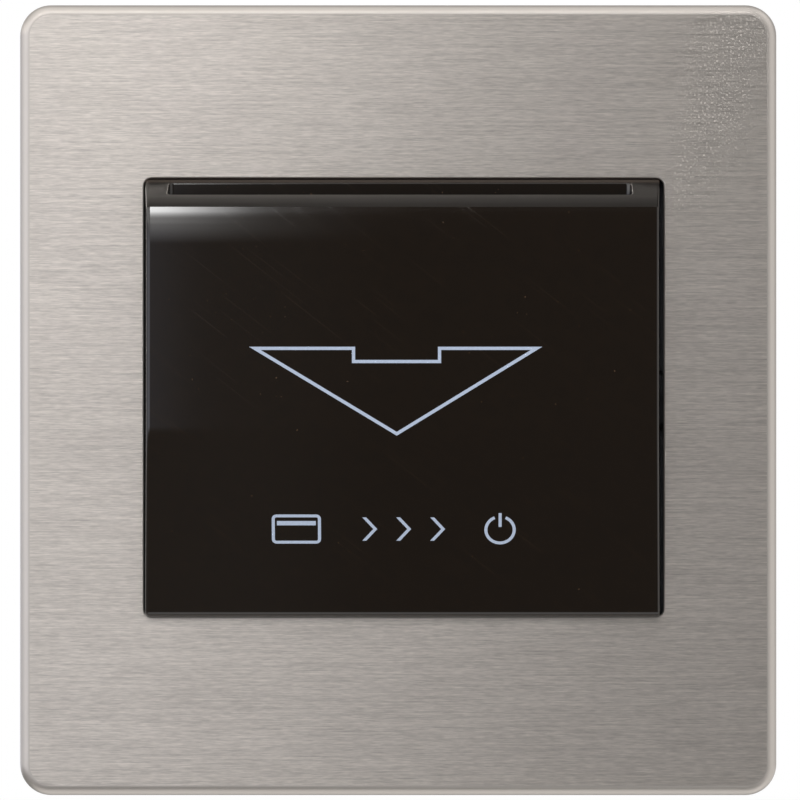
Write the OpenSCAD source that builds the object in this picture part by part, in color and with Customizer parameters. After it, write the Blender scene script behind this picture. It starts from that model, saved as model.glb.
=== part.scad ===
// Hotel key card switch for a square wall box.
// +X right, +Z up, +Y into the wall. The origin is the middle of the wall plate, on the wall.

/* [Wall plate] */
// Width of the wall plate
plate_w = 90; // [88:0.5:100]
// Height of the wall plate
plate_h = 94; // [92:0.5:104]
// How far the plate's face stands off the wall
plate_depth = 7.5; // [7.4:0.1:8.5]
// Radius of the plate's corners
plate_r = 3.7; // [3:0.1:6]
// Radius of the rolled front edge
edge_r = 1.2; // [1.1:0.1:2]
// Thickness of the steel face
skin_t = 0.8; // [0.6:0.1:1]
// Radius of the corners of the window
window_r = 1.1; // [0.6:0.1:2]
// Gap beside the black front in the window
window_gap = 0.75; // [0.5:0.05:1]
// How far the window lies to the right of the plate's middle
window_dx = 0.65; // [0.4:0.05:0.75]

/* [Key card] */
// Width of the card that the slot takes
card_w = 53.98; // [53:0.1:55]
// Play of the card in the slot, side to side
card_play = 0.72; // [0.5:0.02:1]
// Opening of the slot, front to back
slot_depth = 4.5; // [4:0.1:4.6]
// How far the card's lower edge stops below the plate's middle
card_stop = 17.5; // [15:0.5:18]

/* [Black front] */
// Height of the black front
cover_h = 51.8; // [51:0.1:53]
// How far its top edge stands out of the plate
top_out = 10.2; // [9.8:0.1:12]
// How far its bend stands out of the plate
bend_out = 9.2; // [9:0.1:9.6]
// How far its foot stands out of the plate
foot_out = 1.4; // [1:0.1:2]
// How far the bend lies below the plate's middle
bend_drop = 5; // [4:0.5:7]
// How far the sloping top face falls from the plate to its front edge
top_fall = 3.35; // [2.5:0.05:4]
// Wall of the black front
cover_wall = 1.6; // [1.2:0.1:1.8]
// Radius that blends the bend
bend_r = 12; // [6:1:20]

/* [Wall box] */
// Distance between the wall box's screws
screw_pitch = 60.3; // [60:0.1:61]
// How far the housing reaches into the wall
housing_depth = 26; // [25.5:0.5:32]
// How far a wall screw reaches into the wall box
screw_reach = 22; // [16:1:30]

/* [Lever] */
// Height of the lever's pivot above the plate's middle
pivot_z = 12; // [11.6:0.1:12.4]
// Radius of the lever's pin
pin_r = 1; // [0.8:0.05:1.1]
// Clearance of the pin in its bores
pin_play = 0.04; // [0.02:0.01:0.06]
// Width of the lever's arm
lever_w = 8; // [7:0.5:9]
// How far the lever swings back
lever_swing = 21; // [18:1:21]

/* [Hidden] */
$fn = 48;

// One overrun for every cut, and the gap between pieces that seat side by side
over = 0.6;
seat = 0.1;

// Depths from the plate's face to the wall box
plate_y = -plate_depth;
skin_back_y = plate_y + skin_t;
skin_rim_y = -1.2;
slot_out = 1.1;
slot_back_y = plate_y - slot_out;
slot_front_y = slot_back_y - slot_depth;
guide_t = 1.5;
deck_t = 2;
deck_y = slot_back_y + guide_t;
deck_back_y = deck_y + deck_t;
yoke_y = -3;
yoke_t = 1.2;
yoke_back_y = yoke_y + yoke_t;

// The black front and the slot in it
rail_t = 0.9;
rail_gap = 0.4;
slot_w = card_w + card_play;
cover_w = slot_w + 2*(rail_t + rail_gap + cover_wall);
cover_dx = 0.365;
cover_dz = 0.2;
slot_dx = 0.21;
cover_skirt = 2.3;
cover_back_y = plate_y + cover_skirt;
cover_top = cover_dz + cover_h/2;
cover_base = cover_dz - cover_h/2;
cover_side_r = 0.6;
cover_brow_r = 0.35;
cover_foot_r = 1.5;
foot_rise = 0.6;
side_steps = 3;
arc_steps = 6;
card_rib_t = 1.2;
card_rib_shares = [-0.37, -0.13, 0.13, 0.37];
catch_w = 8;
catch_dz = 12;
catch_t = 1;
catch_bite = 0.6;

// Window in the plate
window_gap_z = 0.35;
rim_r = 0.25;
window_dz = 0.25;
window_w = cover_w + 2*window_gap;
window_h = cover_h + 2*window_gap_z;

// Moulded frame behind the steel face
frame_gap = 0.1;
frame_t = 1.5;
frame_wall = 2;
frame_w = plate_w - 2*(skin_t + frame_gap);
frame_h = plate_h - 2*(skin_t + frame_gap);
frame_r = plate_r - skin_t - frame_gap;
frame_web_y = skin_back_y + frame_t;
frame_margin = 1;
frame_foot_y = skin_rim_y + seat;
frame_foot_inset = 0.3;
frame_rib_t = 1.2;
frame_rib_h = 1.8;
frame_rib_share = 0.24;
frame_side_rib_shares = [-0.33, -0.15, 0.15, 0.33];

// Yoke
yoke_room = 6.1;
yoke_rise = 3.1;
yoke_w = frame_w - 2*(frame_wall + yoke_room);
yoke_h = frame_h - 2*(frame_wall + yoke_rise);
yoke_r = 2;
yoke_opening_gap = 0.25;
yoke_slot_r = 2.25;
yoke_slot_l = 8;
yoke_flange_inset = 6;
yoke_bend_r = 0.6;
yoke_fold_r = yoke_bend_r + yoke_t;

// Clips that hold the frame on the yoke
clip_dx = 22;
clip_in = 4;
clip_z = yoke_h/2 - clip_in;
clip_w = 5;
clip_t = 1.4;
clip_hook = 0.7;
clip_play = 0.3;
clip_nose = 1.2;

// Wall screws
wall_screw_r = 1.75;
wall_shoulder_r = 2.05;
wall_head_r = 3.6;
wall_head_h = 2;
wall_head_edge = 0.6;
wall_tip = 0.9;
recess_w = 0.9;
recess_l = 4.2;
recess_depth = 1.1;

// Housing
housing_side_gap = 1.05;
housing_w = screw_pitch - 2*(wall_head_r + housing_side_gap);
housing_room = 1.3;
housing_h = cover_h - 2*(cover_wall + housing_room);
housing_r = 1.5;
housing_wall = 2;
flange_w = 40;
flange_rise = 6;
flange_t = 1.5;
lug_out = 0.8;
lug_w = 6;
lug_dz = 14;
lug_flat = 1;
lug_l = 3.2;

// Lever, measured from its pivot: back is +Y
pivot_y = -3.4;
hub_r = 2.4;
hub_play = 0.2;
arm_front = -1.2;
arm_back = 1;
nose_past = 1.2;
nose_tip = slot_front_y - nose_past - pivot_y;
nose_drop = 14.2;
nose_h = 2;
nose_r = 0.7;
ramp_drop = 5;
pad_drop = 4.1;
pad_h = 3;
pad_back = 3;
pad_run = 0.8;
stop_w = 13;
stop_top = 10;
stop_h = 3;
stop_front = deck_back_y + seat - pivot_y;
wire_r = 0.25;
coil_r = pin_r + wire_r + seat;
coil_turns = 5;
coil_pitch = 1;
coil_steps = 16;
wire_sides = 6;
spring_gap = 0.05;
stop_back = coil_r - wire_r - spring_gap;
leg_run = 1;

// Ears that carry the pin, and the windows that the lever swings in
ear_dx = 12;
ear_t = 2;
ear_rise = 3.6;
ear_back = 2.6;
pin_end = 0.4;
window_side = 0.75;
nose_window_top = 6;
nose_window_drop = 19;
hub_window_drop = 8;
hub_window_rise = 3.2;
spring_rest_rise = 2.4;
spring_rest_w = 2.4;

// Snap switch
tab_w = 6.3;
tab_t = 0.8;
tab_l = 6;
tab_room = 1.7;
case_l = 27.8;
case_h = 10.3;
case_y = 2.4;
case_d = housing_depth - tab_room - tab_l - case_y;
case_z = pivot_z - pad_drop;
case_r = 1;
case_seam_share = 0.2;
case_seam_w = 0.3;
case_seam_depth = 0.25;
collar_r = 2.6;
collar_h = 0.6;
case_hole_r = 1.55;
case_hole_pitch = 22.2;
case_hole_in = 2.8;
case_hole_rise = case_d - 2*case_hole_in;
button_x = -2.5;
button_r = 1.5;
button_gap = 0.2;
button_play = 0.05;
button_tail = 2.2;
button_room = 0.5;
button_rest = pad_back + button_r + button_gap;
button_travel = (button_rest + pad_drop*sin(lever_swing))/cos(lever_swing) - button_rest;
switch_screw_r = 1.45;
switch_head_r = 2.7;
switch_head_h = 1.8;
switch_screw_l = 16;
screw_access = 0.5;

// Shelf under the snap switch
shelf_t = 2;
shelf_y = 1.4;
shelf_back = 0.2;
shelf_notch_w = 15;
shelf_notch_y = 4.9;
shelf_boss_r = 3;
shelf_boss_h = 5;

// Terminals
terminal_pitch = 10;
terminal_w = 8;
terminal_h = 8;
terminal_l = 8.6;
terminal_end = 0.4;
terminal_y = housing_depth - terminal_end - terminal_l;
rib_t = 1.6;
rib_rise = 10;
terminal_stop_t = 1.6;
wire_hole_r = 1.8;
clamp_r = 1.5;
clamp_head_r = 2.2;
clamp_head_in = 0.4;
clamp_reach = 0.7;
strap_w = 5;
strap_t = 0.8;
strap_y = case_y + case_d + 0.7*tab_t;
strap_end = 1;
strap_foot = tab_l - strap_end;
strap_r = 0.7;

// Small screws
screw_r = 1.2;
screw_play = 0.05;
sink_r = 2.2;
sink_h = 1.1;
guide_screw_x = 19;
guide_screw_z = -12;
boss_r = 2.6;
guide_boss_h = 4.6;
rear_t = 2;
rear_edge_r = 0.8;
rear_boss_in = 4;
rear_boss_l = 14;
rear_screw_l = 12;
entry_r = 2.2;

// Derived places in the housing
inner_w = housing_w - 2*housing_wall;
inner_h = housing_h - 2*housing_wall;
floor_z = -inner_h/2;
terminal_z = floor_z + seat;
wire_z = terminal_z + terminal_h/2;
case_base = case_z - case_h/2;
case_top = case_z + case_h/2;
rear_screw_x = housing_w/2 - rear_boss_in;
rear_screw_z = housing_h/2 - rear_boss_in;
hub_x0 = -ear_dx + hub_play;
hub_x1 = lever_w/2 + rail_t;
coil_x0 = hub_x1 + leg_run;
coil_x1 = coil_x0 + coil_turns*coil_pitch;

// Points round a corner v between a and b, with radius r
function unit(v) = v/norm(v);
function corner(a, v, b, r) =
    r == 0 ? [v] :
    let (p = unit(a - v), q = unit(b - v), half = acos(p*q)/2,
         c = v + unit(p + q)*r/sin(half), s = v + p*r/tan(half) - c, e = v + q*r/tan(half) - c,
         from = atan2(s[1], s[0]), turn = sign(cross(s, e))*(180 - 2*half))
    [for (k = [0:arc_steps]) c + r*[cos(from + turn*k/arc_steps), sin(from + turn*k/arc_steps)]];
function rounded(pts, radii) =
    let (n = len(pts))
    [for (i = [0:n - 1]) each corner(pts[(i + n - 1)%n], pts[i], pts[(i + 1)%n], radii[i])];

// Side outline of the black front, in depth and height, open towards back_y
function cover_outline(back_y) = rounded(
    [[back_y, cover_top], [plate_y, cover_top], [plate_y - top_out, cover_top - top_fall],
     [plate_y - bend_out, -bend_drop], [plate_y - foot_out, cover_base + foot_rise],
     [plate_y, cover_base], [back_y, cover_base]],
    [0, 0, cover_brow_r, bend_r, cover_foot_r, cover_foot_r, 0]);

// Depth of the inside of the slanting lower wall at height z, and height of it at depth y
lower_run = bend_out - foot_out;
lower_fall = cover_base + foot_rise + bend_drop;
lower_len = norm([lower_run, lower_fall]);
function slant_y(z) = plate_y - bend_out - lower_run*(z + bend_drop)/-lower_fall
    + (cover_wall + seat)*lower_len/-lower_fall;
function slant_z(y) = -bend_drop
    - (y - plate_y + bend_out - (cover_wall + seat)*lower_len/-lower_fall)*lower_fall/-lower_run;
guide_top = cover_top - top_fall*(slot_out + slot_depth)/top_out - 2*rail_t;

module along_x(x0, x1) translate([x0, 0, 0]) rotate([90, 0, 90]) linear_extrude(x1 - x0) children();
module along_y(y0, y1) translate([0, y1, 0]) rotate([90, 0, 0]) linear_extrude(y1 - y0) children();
module along_z(z0, z1) translate([0, 0, z0]) linear_extrude(z1 - z0) children();
module span(x0, x1, y0, y1, z0, z1) translate([x0, y0, z0]) cube([x1 - x0, y1 - y0, z1 - z0]);
module rod_x(r, x0, x1) translate([x0, 0, 0]) rotate([0, 90, 0]) cylinder(r = r, h = x1 - x0);
module rod_y(r, y0, y1) translate([0, y0, 0]) rotate([-90, 0, 0]) cylinder(r = r, h = y1 - y0);
module rod_z(r, z0, z1) translate([0, 0, z0]) cylinder(r = r, h = z1 - z0);
module at_xz(x, z) translate([x, 0, z]) children();
module four(x, z) for (sx = [-1, 1], sz = [-1, 1]) at_xz(sx*x, sz*z) children();

module round_rect(w, h, r) {
    square([w - 2*r, h], center = true);
    square([w, h - 2*r], center = true);
    for (sx = [-1, 1], sz = [-1, 1]) translate([sx*(w/2 - r), sz*(h/2 - r)]) circle(r);
}

module slot_shape(r, l) {
    square([2*r, l - 2*r], center = true);
    for (s = [-1, 1]) translate([0, s*(l/2 - r)]) circle(r);
}

// Half section of a slab d deep whose front edge is rounded
module rolled_edge(half, d, e) {
    square([half - e, d]);
    translate([0, e]) square([half, d - e]);
    intersection() {
        translate([half - e, e]) circle(e);
        translate([half - e, 0]) square(e);
    }
}

module rolled_bar(w, l, d, e)
    linear_extrude(l, center = true) for (m = [0, 1]) mirror([m, 0]) rolled_edge(w/2, d, e);

// Slab with rounded corners and a rounded front edge
module rolled_slab(w, h, r, e, y0, y1) translate([0, y0, 0]) {
    rolled_bar(w, h - 2*r, y1 - y0, e);
    rotate([0, 90, 0]) rolled_bar(h, w - 2*r, y1 - y0, e);
    four(w/2 - r, h/2 - r) rotate([-90, 0, 0]) rotate_extrude() rolled_edge(r, y1 - y0, e);
}

module plate_window(grow) translate([window_dx, window_dz])
    round_rect(window_w + 2*grow, window_h + 2*grow, window_r + grow);

// Half section of a hole d deep whose front edge is rounded over, so that it flares by e
module flared_edge(half, d, e) {
    square([half, d]);
    translate([0, -over]) square([half + e, over]);
    difference() {
        square([half + e, e]);
        translate([half + e, e]) circle(e);
    }
}

module flared_bar(w, l, d, e)
    linear_extrude(l, center = true) for (m = [0, 1]) mirror([m, 0]) flared_edge(w/2, d, e);

// Hole in the steel face, a rim narrower than the window and rounded over up to it
module flared_window() translate([window_dx, plate_y, window_dz]) {
    w = window_w - 2*rim_r;
    h = window_h - 2*rim_r;
    r = window_r - rim_r;
    flared_bar(w, h - 2*r, skin_t + over, rim_r);
    rotate([0, 90, 0]) flared_bar(h, w - 2*r, skin_t + over, rim_r);
    four(w/2 - r, h/2 - r) rotate([-90, 0, 0]) rotate_extrude() flared_edge(r, skin_t + over, rim_r);
}

module face_plate() color([0.72, 0.69, 0.67]) difference() {
    rolled_slab(plate_w, plate_h, plate_r, edge_r, plate_y, skin_rim_y);
    rolled_slab(plate_w - 2*skin_t, plate_h - 2*skin_t, plate_r - skin_t, edge_r - skin_t,
                skin_back_y, skin_rim_y + over);
    flared_window();
}

module frame_clip() along_x(-clip_w/2, clip_w/2) polygon([
    [frame_web_y - frame_t/2, -clip_t], [yoke_back_y + seat + clip_nose, -clip_t],
    [yoke_back_y + seat + clip_nose, 0], [yoke_back_y + seat + clip_hook, clip_hook],
    [yoke_back_y + seat, clip_hook], [yoke_back_y + seat, 0], [frame_web_y - frame_t/2, 0]]);

module plate_frame() color([0.2, 0.2, 0.21]) {
    difference() {
        union() {
            rolled_slab(frame_w, frame_h, frame_r, edge_r - skin_t, skin_back_y, frame_foot_y + seat);
            along_y(frame_foot_y, 0)
                round_rect(plate_w - 2*frame_foot_inset, plate_h - 2*frame_foot_inset,
                           plate_r - frame_foot_inset);
        }
        along_y(frame_web_y, over)
            round_rect(frame_w - 2*frame_wall, frame_h - 2*frame_wall, frame_r - frame_wall/2);
        along_y(skin_back_y - over, frame_web_y + over) plate_window(frame_margin);
        for (s = [-1, 1]) at_xz(s*screw_pitch/2, 0)
            rod_y(wall_head_r + over, skin_back_y - over, frame_web_y + over);
    }
    for (sx = [-1, 1], m = [0, 1]) mirror([0, 0, m]) at_xz(sx*clip_dx, clip_z) frame_clip();
    // Ribs between the wall and the window, above and below it and beside it
    for (sx = [-1, 0, 1], m = [0, 1]) mirror([0, 0, m])
        at_xz(sx*frame_rib_share*frame_w/2, 0)
            span(-frame_rib_t/2, frame_rib_t/2, frame_web_y - frame_t/2, frame_web_y + frame_rib_h,
                 housing_h/2 + flange_rise + 2*seat, frame_h/2 - frame_wall/2);
    for (share = frame_side_rib_shares, m = [0, 1]) mirror([m, 0, 0]) at_xz(0, share*frame_h)
        span(window_w/2 + window_dx*(1 - 2*m) + frame_margin + seat, frame_w/2 - frame_wall/2,
             frame_web_y - frame_t/2, frame_web_y + frame_rib_h, -frame_rib_t/2, frame_rib_t/2);
}

// Section of a folded edge: the outer skin of the bend, its leg down to the wall, and no web
module folded_edge(half, l) linear_extrude(l, center = true) difference() {
    rolled_edge(half, -yoke_y, yoke_fold_r);
    translate([0, yoke_t]) rolled_edge(half - yoke_t, -yoke_y, yoke_bend_r);
    square([half - yoke_fold_r - seat, yoke_t]);
}

module mounting_yoke() color([0.66, 0.67, 0.69]) {
    fold_l = yoke_h - 2*yoke_flange_inset;
    fold_w = yoke_w - 2*yoke_flange_inset;
    along_y(yoke_y, yoke_back_y) difference() {
        round_rect(yoke_w, yoke_h, yoke_r);
        for (s = [-1, 1]) {
            translate([s*yoke_w/2, 0]) square([2*yoke_fold_r, fold_l], center = true);
            translate([0, s*yoke_h/2]) square([fold_w, 2*yoke_fold_r], center = true);
            translate([s*screw_pitch/2, 0]) slot_shape(yoke_slot_r, yoke_slot_l);
        }
        round_rect(housing_w + 2*yoke_opening_gap, housing_h + 2*yoke_opening_gap, housing_r);
        for (sx = [-1, 1], m = [0, 1]) mirror([0, m]) translate([sx*clip_dx, clip_z + seat])
            translate([-clip_w/2 - clip_play, -clip_t - clip_play - seat])
                square([clip_w + 2*clip_play, clip_t + clip_play + seat]);
    }
    // Folded edges that stand on the wall
    translate([0, yoke_y, 0]) for (m = [0, 1]) {
        mirror([m, 0, 0]) folded_edge(yoke_w/2, fold_l);
        rotate([0, 90, 0]) mirror([m, 0, 0]) folded_edge(yoke_h/2, fold_w);
    }
}

module wall_screws() color([0.75, 0.75, 0.76]) for (s = [-1, 1]) at_xz(s*screw_pitch/2, 0)
    difference() {
        union() {
            translate([0, yoke_y - wall_head_h, 0]) rotate([-90, 0, 0])
                rotate_extrude() rolled_edge(wall_head_r, wall_head_h, wall_head_edge);
            rod_y(wall_shoulder_r, yoke_y, 0);
            rod_y(wall_screw_r, 0, screw_reach);
            translate([0, screw_reach, 0]) rotate([-90, 0, 0])
                cylinder(r1 = wall_screw_r, r2 = wall_screw_r - wall_tip, h = wall_tip);
        }
        for (turn = [0, 90]) rotate([0, turn, 0])
            span(-recess_l/2, recess_l/2, yoke_y - wall_head_h - over, yoke_y - wall_head_h + recess_depth,
                 -recess_w/2, recess_w/2);
    }

// The black front is a shell with its long edges rounded, open at the back
module cover_form() translate([cover_dx, 0, 0]) hull() for (k = [0:side_steps]) {
    a = 90*k/side_steps;
    half = cover_w/2 - cover_side_r*(1 - sin(a));
    along_x(-half, half) offset(delta = -cover_side_r*(1 - cos(a)))
        polygon(cover_outline(cover_back_y + cover_side_r));
}

module front_cover() color([0.1, 0.09, 0.085]) difference() {
    union() {
        difference() {
            cover_form();
            translate([cover_dx, 0, 0]) along_x(cover_wall - cover_w/2, cover_w/2 - cover_wall)
                offset(delta = -cover_wall) polygon(cover_outline(cover_back_y + 3*cover_wall));
        }
        // Ribs that form the front of the card's channel
        intersection() {
            along_x(-cover_w/2, cover_w/2)
                offset(delta = -cover_wall/2) polygon(cover_outline(cover_back_y));
            for (share = card_rib_shares) at_xz(slot_dx + share*slot_w, 0)
                span(-card_rib_t/2, card_rib_t/2, plate_y - top_out, slot_front_y, cover_base, cover_top);
        }
        // Catches that hold the front on the housing
        for (s = [-1, 1], sz = [-1, 1]) intersection() {
            cover_form();
            at_xz(0, sz*catch_dz) mirror([(1 - s)/2, 0, 0])
                span(housing_w/2 - catch_bite, cover_w/2 - cover_wall/2,
                     cover_back_y - catch_t, cover_back_y, -catch_w/2, catch_w/2);
        }
    }
    at_xz(slot_dx, 0) span(-slot_w/2, slot_w/2, slot_front_y, slot_back_y,
                           guide_top - over, cover_top + over);
    span(-cover_w, cover_w, cover_back_y, cover_back_y + 2*cover_wall, -cover_h, cover_h);
}

// Channel that guides the card behind the black front, with a floor that stops it
module card_guide() color([0.16, 0.16, 0.17]) difference() {
    guide_w = slot_w + 2*rail_t;
    base = -card_stop - rail_t;
    union() at_xz(slot_dx, 0) {
        span(-guide_w/2, guide_w/2, slot_back_y, deck_y, base, guide_top);
        for (s = [-1, 1]) translate([s*(slot_w + rail_t)/2, 0, 0]) along_x(-rail_t/2, rail_t/2)
            polygon([[deck_y, base], [slant_y(base), base], [slot_front_y, slant_z(slot_front_y)],
                     [slot_front_y, guide_top], [deck_y, guide_top]]);
        along_x(-guide_w/2, guide_w/2)
            polygon([[slot_back_y, base], [slant_y(base), base], [slant_y(-card_stop), -card_stop],
                     [slot_back_y, -card_stop]]);
    }
    span(-lever_w/2 - window_side, lever_w/2 + window_side, slot_back_y - over, deck_y + over,
         pivot_z - nose_window_drop, pivot_z - nose_window_top);
    for (s = [-1, 1]) at_xz(s*guide_screw_x, guide_screw_z) {
        rod_y(screw_r + screw_play, slot_back_y - over, deck_y + over);
        translate([0, slot_back_y, 0]) sunk_head(seat);
    }
}

// Countersunk head whose face is on y = 0, with room all round it
module sunk_head(room) rotate([-90, 0, 0]) {
    cylinder(r1 = sink_r + room, r2 = screw_r + room, h = sink_h);
    if (room > 0) translate([0, 0, -over]) cylinder(r = sink_r + room, h = over);
}

// Countersunk screw l long with its head on y = 0 and a cross in it
module small_screw(l) difference() {
    union() {
        sunk_head(0);
        rod_y(screw_r, 0, l);
    }
    for (turn = [0, 90]) rotate([0, turn, 0])
        span(-screw_r, screw_r, -over, sink_h/2, -wire_r, wire_r);
}

module guide_screws() color([0.75, 0.75, 0.76]) for (s = [-1, 1])
    at_xz(s*guide_screw_x, guide_screw_z) translate([0, slot_back_y, 0])
        small_screw(guide_t + deck_t + guide_boss_h - over);

module housing_shell() difference() {
    union() {
        along_y(deck_y, housing_depth) round_rect(housing_w, housing_h, housing_r);
        along_y(yoke_y - flange_t, yoke_y)
            square([flange_w, housing_h + 2*flange_rise], center = true);
    }
    along_y(deck_back_y, housing_depth + over) round_rect(inner_w, inner_h, housing_r/2);
    // Windows in the deck for the lever's nose and its hub
    span(-lever_w/2 - window_side, lever_w/2 + window_side, deck_y - over, deck_back_y + over,
         pivot_z - nose_window_drop, pivot_z);
    span(-ear_dx, ear_dx, deck_y - over, deck_back_y + over,
         pivot_z - hub_window_drop, pivot_z + hub_window_rise);
    // Grooves for the catches of the black front
    four(0, catch_dz) for (s = [-1, 1]) mirror([(1 - s)/2, 0, 0])
        span(housing_w/2 - catch_bite - 2*seat, housing_w/2 + over,
             cover_back_y - catch_t - seat, cover_back_y + seat, -catch_w/2 - seat, catch_w/2 + seat);
}

module switch_screw_places() for (s = [-1, 1])
    translate([s*case_hole_pitch/2, case_y + case_hole_in + (s + 1)/2*case_hole_rise, 0]) children();

module mechanism_housing() color([0.88, 0.87, 0.84]) difference() {
    union() {
        housing_shell();
        for (s = [-1, 1]) {
            // Ears for the lever's pin
            mirror([(1 - s)/2, 0, 0])
                span(ear_dx, ear_dx + ear_t, deck_back_y - deck_t/2, pivot_y + ear_back,
                     pivot_z - ear_rise, pivot_z + ear_rise);
            at_xz(s*guide_screw_x, guide_screw_z)
                rod_y(boss_r, deck_back_y - deck_t/2, deck_back_y + guide_boss_h);
        }
        // Lugs that snap behind the yoke
        for (sx = [0, 1], sz = [-1, 1]) mirror([sx, 0, 0]) at_xz(0, sz*lug_dz) along_z(-lug_w/2, lug_w/2)
            polygon([[housing_w/2 - housing_wall/2, yoke_back_y + seat],
                     [housing_w/2 + lug_out, yoke_back_y + seat],
                     [housing_w/2 + lug_out, yoke_back_y + seat + lug_flat],
                     [housing_w/2, yoke_back_y + seat + lug_l],
                     [housing_w/2 - housing_wall/2, yoke_back_y + seat + lug_l]]);
        // Shelf for the snap switch, with a boss under each of its screws
        difference() {
            span(-inner_w/2 - seat, inner_w/2 + seat, shelf_y, case_y + case_d - shelf_back,
                 case_base - seat - shelf_t, case_base - seat);
            span(-shelf_notch_w/2, shelf_notch_w/2, shelf_y - over, shelf_notch_y,
                 case_base - seat - shelf_t - over, case_base);
        }
        switch_screw_places() rod_z(shelf_boss_r, case_base - seat - shelf_boss_h, case_base - seat);
        // Rest for the spring's fixed leg
        span(coil_x1 - spring_rest_w/2, coil_x1 + spring_rest_w/2, deck_back_y - deck_t/2,
             pivot_y + stop_back, pivot_z + hub_window_rise, pivot_z + hub_window_rise + spring_rest_rise);
        // Bosses for the rear cover's screws
        four(rear_screw_x, rear_screw_z) rod_y(boss_r, housing_depth - rear_boss_l, housing_depth);
        // Ribs beside the terminals, and their stop
        for (k = [-1.5:1.5]) at_xz(k*terminal_pitch, 0)
            span(-rib_t/2, rib_t/2, terminal_y - seat - terminal_stop_t, housing_depth,
                 floor_z - seat, floor_z + rib_rise);
        span(-1.5*terminal_pitch, 1.5*terminal_pitch, terminal_y - seat - terminal_stop_t,
             terminal_y - seat, floor_z - seat, floor_z + rib_rise);
    }
    at_xz(0, pivot_z) translate([0, pivot_y, 0])
        rod_x(pin_r + pin_play, -ear_dx - ear_t - over, ear_dx + ear_t + over);
    for (s = [-1, 1]) at_xz(s*guide_screw_x, guide_screw_z)
        rod_y(screw_r + screw_play, deck_y - over, deck_back_y + guide_boss_h + over);
    four(rear_screw_x, rear_screw_z)
        rod_y(screw_r + screw_play, housing_depth - rear_screw_l, housing_depth + over);
    switch_screw_places() {
        rod_z(switch_screw_r + screw_play, case_base - seat - shelf_boss_h - over, case_base);
        rod_z(switch_head_r + screw_access, inner_h/2 - over, housing_h/2 + over);
    }
    for (k = [-1:1]) translate([k*terminal_pitch, (terminal_y + housing_depth - terminal_end)/2, 0])
        rod_z(clamp_head_r + 2*seat, -housing_h/2 - over, floor_z + seat);
}

module rear_cover() color([0.88, 0.87, 0.84]) difference() {
    mirror([0, 1, 0]) rolled_slab(housing_w, housing_h, housing_r, rear_edge_r,
                                  -housing_depth - rear_t, -housing_depth);
    for (k = [-1:1]) at_xz(k*terminal_pitch, wire_z)
        rod_y(entry_r, housing_depth - over, housing_depth + rear_t + over);
    four(rear_screw_x, rear_screw_z) {
        rod_y(screw_r + screw_play, housing_depth - over, housing_depth + rear_t + over);
        translate([0, housing_depth + rear_t, 0]) mirror([0, 1, 0]) sunk_head(seat);
    }
}

module rear_cover_screws() color([0.75, 0.75, 0.76]) four(rear_screw_x, rear_screw_z)
    translate([0, housing_depth + rear_t, 0]) mirror([0, 1, 0]) small_screw(rear_screw_l);

module card_lever() color([0.9, 0.9, 0.88]) translate([0, pivot_y, pivot_z]) difference() {
    union() {
        rod_x(hub_r, hub_x0, hub_x1);
        along_x(-lever_w/2, lever_w/2) polygon(rounded(
            [[arm_front, 0], [arm_back, 0], [arm_back, -pad_drop + pad_h/2],
             [pad_back, -pad_drop + pad_h/2], [pad_back, -pad_drop - pad_h/2],
             [arm_back, -pad_drop - pad_h/2 - pad_run], [arm_back, -nose_drop - nose_h/2],
             [nose_tip, -nose_drop - nose_h/2], [nose_tip, -nose_drop + nose_h/2],
             [arm_front, -ramp_drop]],
            [0, 0, 0, wire_r, wire_r, 0, nose_r, nose_r, nose_r, 0]));
        // Shoulders that rest on the deck when no card is in
        span(-stop_w/2, stop_w/2, stop_front, stop_back, -stop_top - stop_h, -stop_top);
    }
    rod_x(pin_r + pin_play, hub_x0 - over, hub_x1 + over);
}

module lever_pin() color([0.75, 0.75, 0.76]) translate([0, pivot_y, pivot_z])
    rod_x(pin_r, -ear_dx - ear_t - pin_end, ear_dx + ear_t + pin_end);

// Torsion spring: a leg up behind the lever's shoulder, the coil round the pin, and a leg up to its rest
spring_path = concat(
    [[coil_x0, coil_r, -stop_top - stop_h/2], [coil_x0, coil_r, -coil_r]],
    [for (k = [0:coil_turns*coil_steps]) let (a = 360*k/coil_steps)
        [coil_x0 + coil_pitch*k/coil_steps, coil_r*cos(a), coil_r*sin(a)]],
    [[coil_x1, coil_r, coil_r], [coil_x1, coil_r, hub_window_rise + spring_rest_rise]]);

function wire_ring(path, i) =
    let (n = len(path), t = unit(path[min(i + 1, n - 1)] - path[max(i - 1, 0)]),
         u = unit([1, 0, 0] - t*t[0]), v = cross(t, u))
    [for (k = [0:wire_sides - 1]) path[i] + wire_r*(u*cos(360*k/wire_sides) + v*sin(360*k/wire_sides))];

module wire(path) {
    n = len(path);
    s = wire_sides;
    polyhedron(
        points = [for (i = [0:n - 1]) each wire_ring(path, i)],
        faces = concat(
            [[for (k = [0:s - 1]) k]],
            [for (i = [0:n - 2], k = [0:s - 1]) each
                [[i*s + k, (i + 1)*s + k, (i + 1)*s + (k + 1)%s],
                 [i*s + k, (i + 1)*s + (k + 1)%s, i*s + (k + 1)%s]]],
            [[for (k = [s - 1:-1:0]) (n - 1)*s + k]]));
}

module lever_spring() color([0.7, 0.7, 0.72]) translate([0, pivot_y, pivot_z]) wire(spring_path);

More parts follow.
